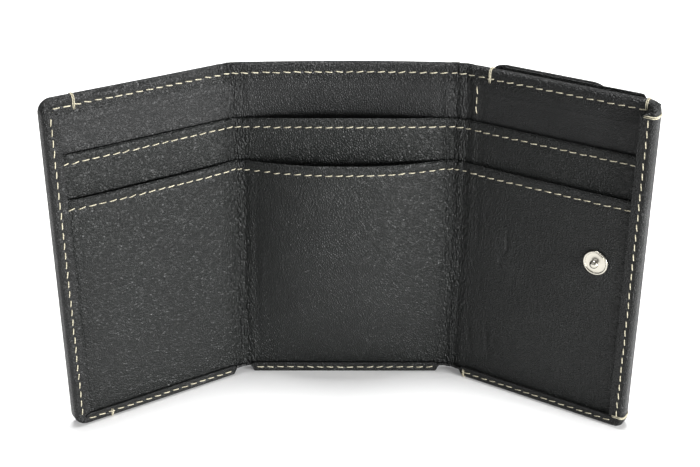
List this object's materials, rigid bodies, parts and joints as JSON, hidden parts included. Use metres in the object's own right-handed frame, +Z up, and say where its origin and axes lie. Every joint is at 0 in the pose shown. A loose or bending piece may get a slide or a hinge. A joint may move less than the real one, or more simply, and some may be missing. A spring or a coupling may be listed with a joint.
{
  "type": "trifold wallet",
  "caption": "Small leather trifold wallet standing open, with note compartments, a snap fastener and a flapped coin pocket.",
  "frame": {"origin": "on the floor, in the middle of the centre panel's bottom hem", "axes": "+Z up along the folds, +X to the right across the open wallet, -Y towards the viewer who looks into it"},
  "size_m": [0.1737, 0.04, 0.107],
  "materials": {
    "outer_leather": "pebbled, semi-gloss black",
    "pocket_leather": "fine-grained, satin black",
    "lining_leather": "smooth, matt black",
    "nickel": "polished nickel plate"
  },
  "bodies": {
    "centre": {"centre_shell": "outer_leather", "centre_lining": "lining_leather", "centre_divider": "pocket_leather", "centre_front_pocket": "pocket_leather", "left_fold_shell": "outer_leather", "left_fold_lining": "lining_leather", "left_fold_divider": "pocket_leather", "left_fold_front_pocket": "pocket_leather", "right_fold_shell": "outer_leather", "right_fold_lining": "lining_leather", "right_fold_divider": "pocket_leather", "right_fold_front_pocket": "pocket_leather"},
    "left_panel": {"left_shell": "outer_leather", "left_lining": "lining_leather", "left_divider": "pocket_leather", "left_front_pocket": "pocket_leather", "closing_socket": "nickel", "closing_socket_rivet": "nickel"},
    "right_panel": {"right_shell": "outer_leather", "right_lining": "lining_leather", "right_divider": "pocket_leather", "right_front_pocket": "pocket_leather", "closing_stud": "nickel", "closing_stud_rivet": "nickel", "coin_flap_stud": "nickel", "coin_flap_stud_rivet": "nickel", "coin_pocket_wall": "pocket_leather", "coin_pocket_top_gusset": "pocket_leather", "coin_pocket_bottom_gusset": "pocket_leather", "coin_flap_hinge": "outer_leather"},
    "coin_flap": {"coin_flap_socket": "nickel", "coin_flap_socket_rivet": "nickel", "coin_flap_cover": "outer_leather", "coin_flap_lining": "lining_leather"}
  },
  "joints": [
    {"name": "left_fold", "type": "hinge", "parent": "centre", "child": "left_panel", "pos_m": [-0.032, -0.00655, 0], "axis": [0, 0, 1], "range_deg": [-33, 147], "deforming": ["left_fold_shell", "left_fold_lining", "left_fold_divider", "left_fold_front_pocket"]},
    {"name": "right_fold", "type": "hinge", "parent": "centre", "child": "right_panel", "pos_m": [0.032, -0.01018, 0], "axis": [0, 0, -1], "range_deg": [-33, 147], "deforming": ["right_fold_shell", "right_fold_lining", "right_fold_divider", "right_fold_front_pocket"]},
    {"name": "coin_flap_bend", "type": "hinge", "parent": "right_panel", "child": "coin_flap", "pos_m": [0.04818, 0.00152, 0], "axis": [0, 0, 1], "range_deg": [0, 160], "deforming": ["coin_flap_hinge"]}
  ]
}
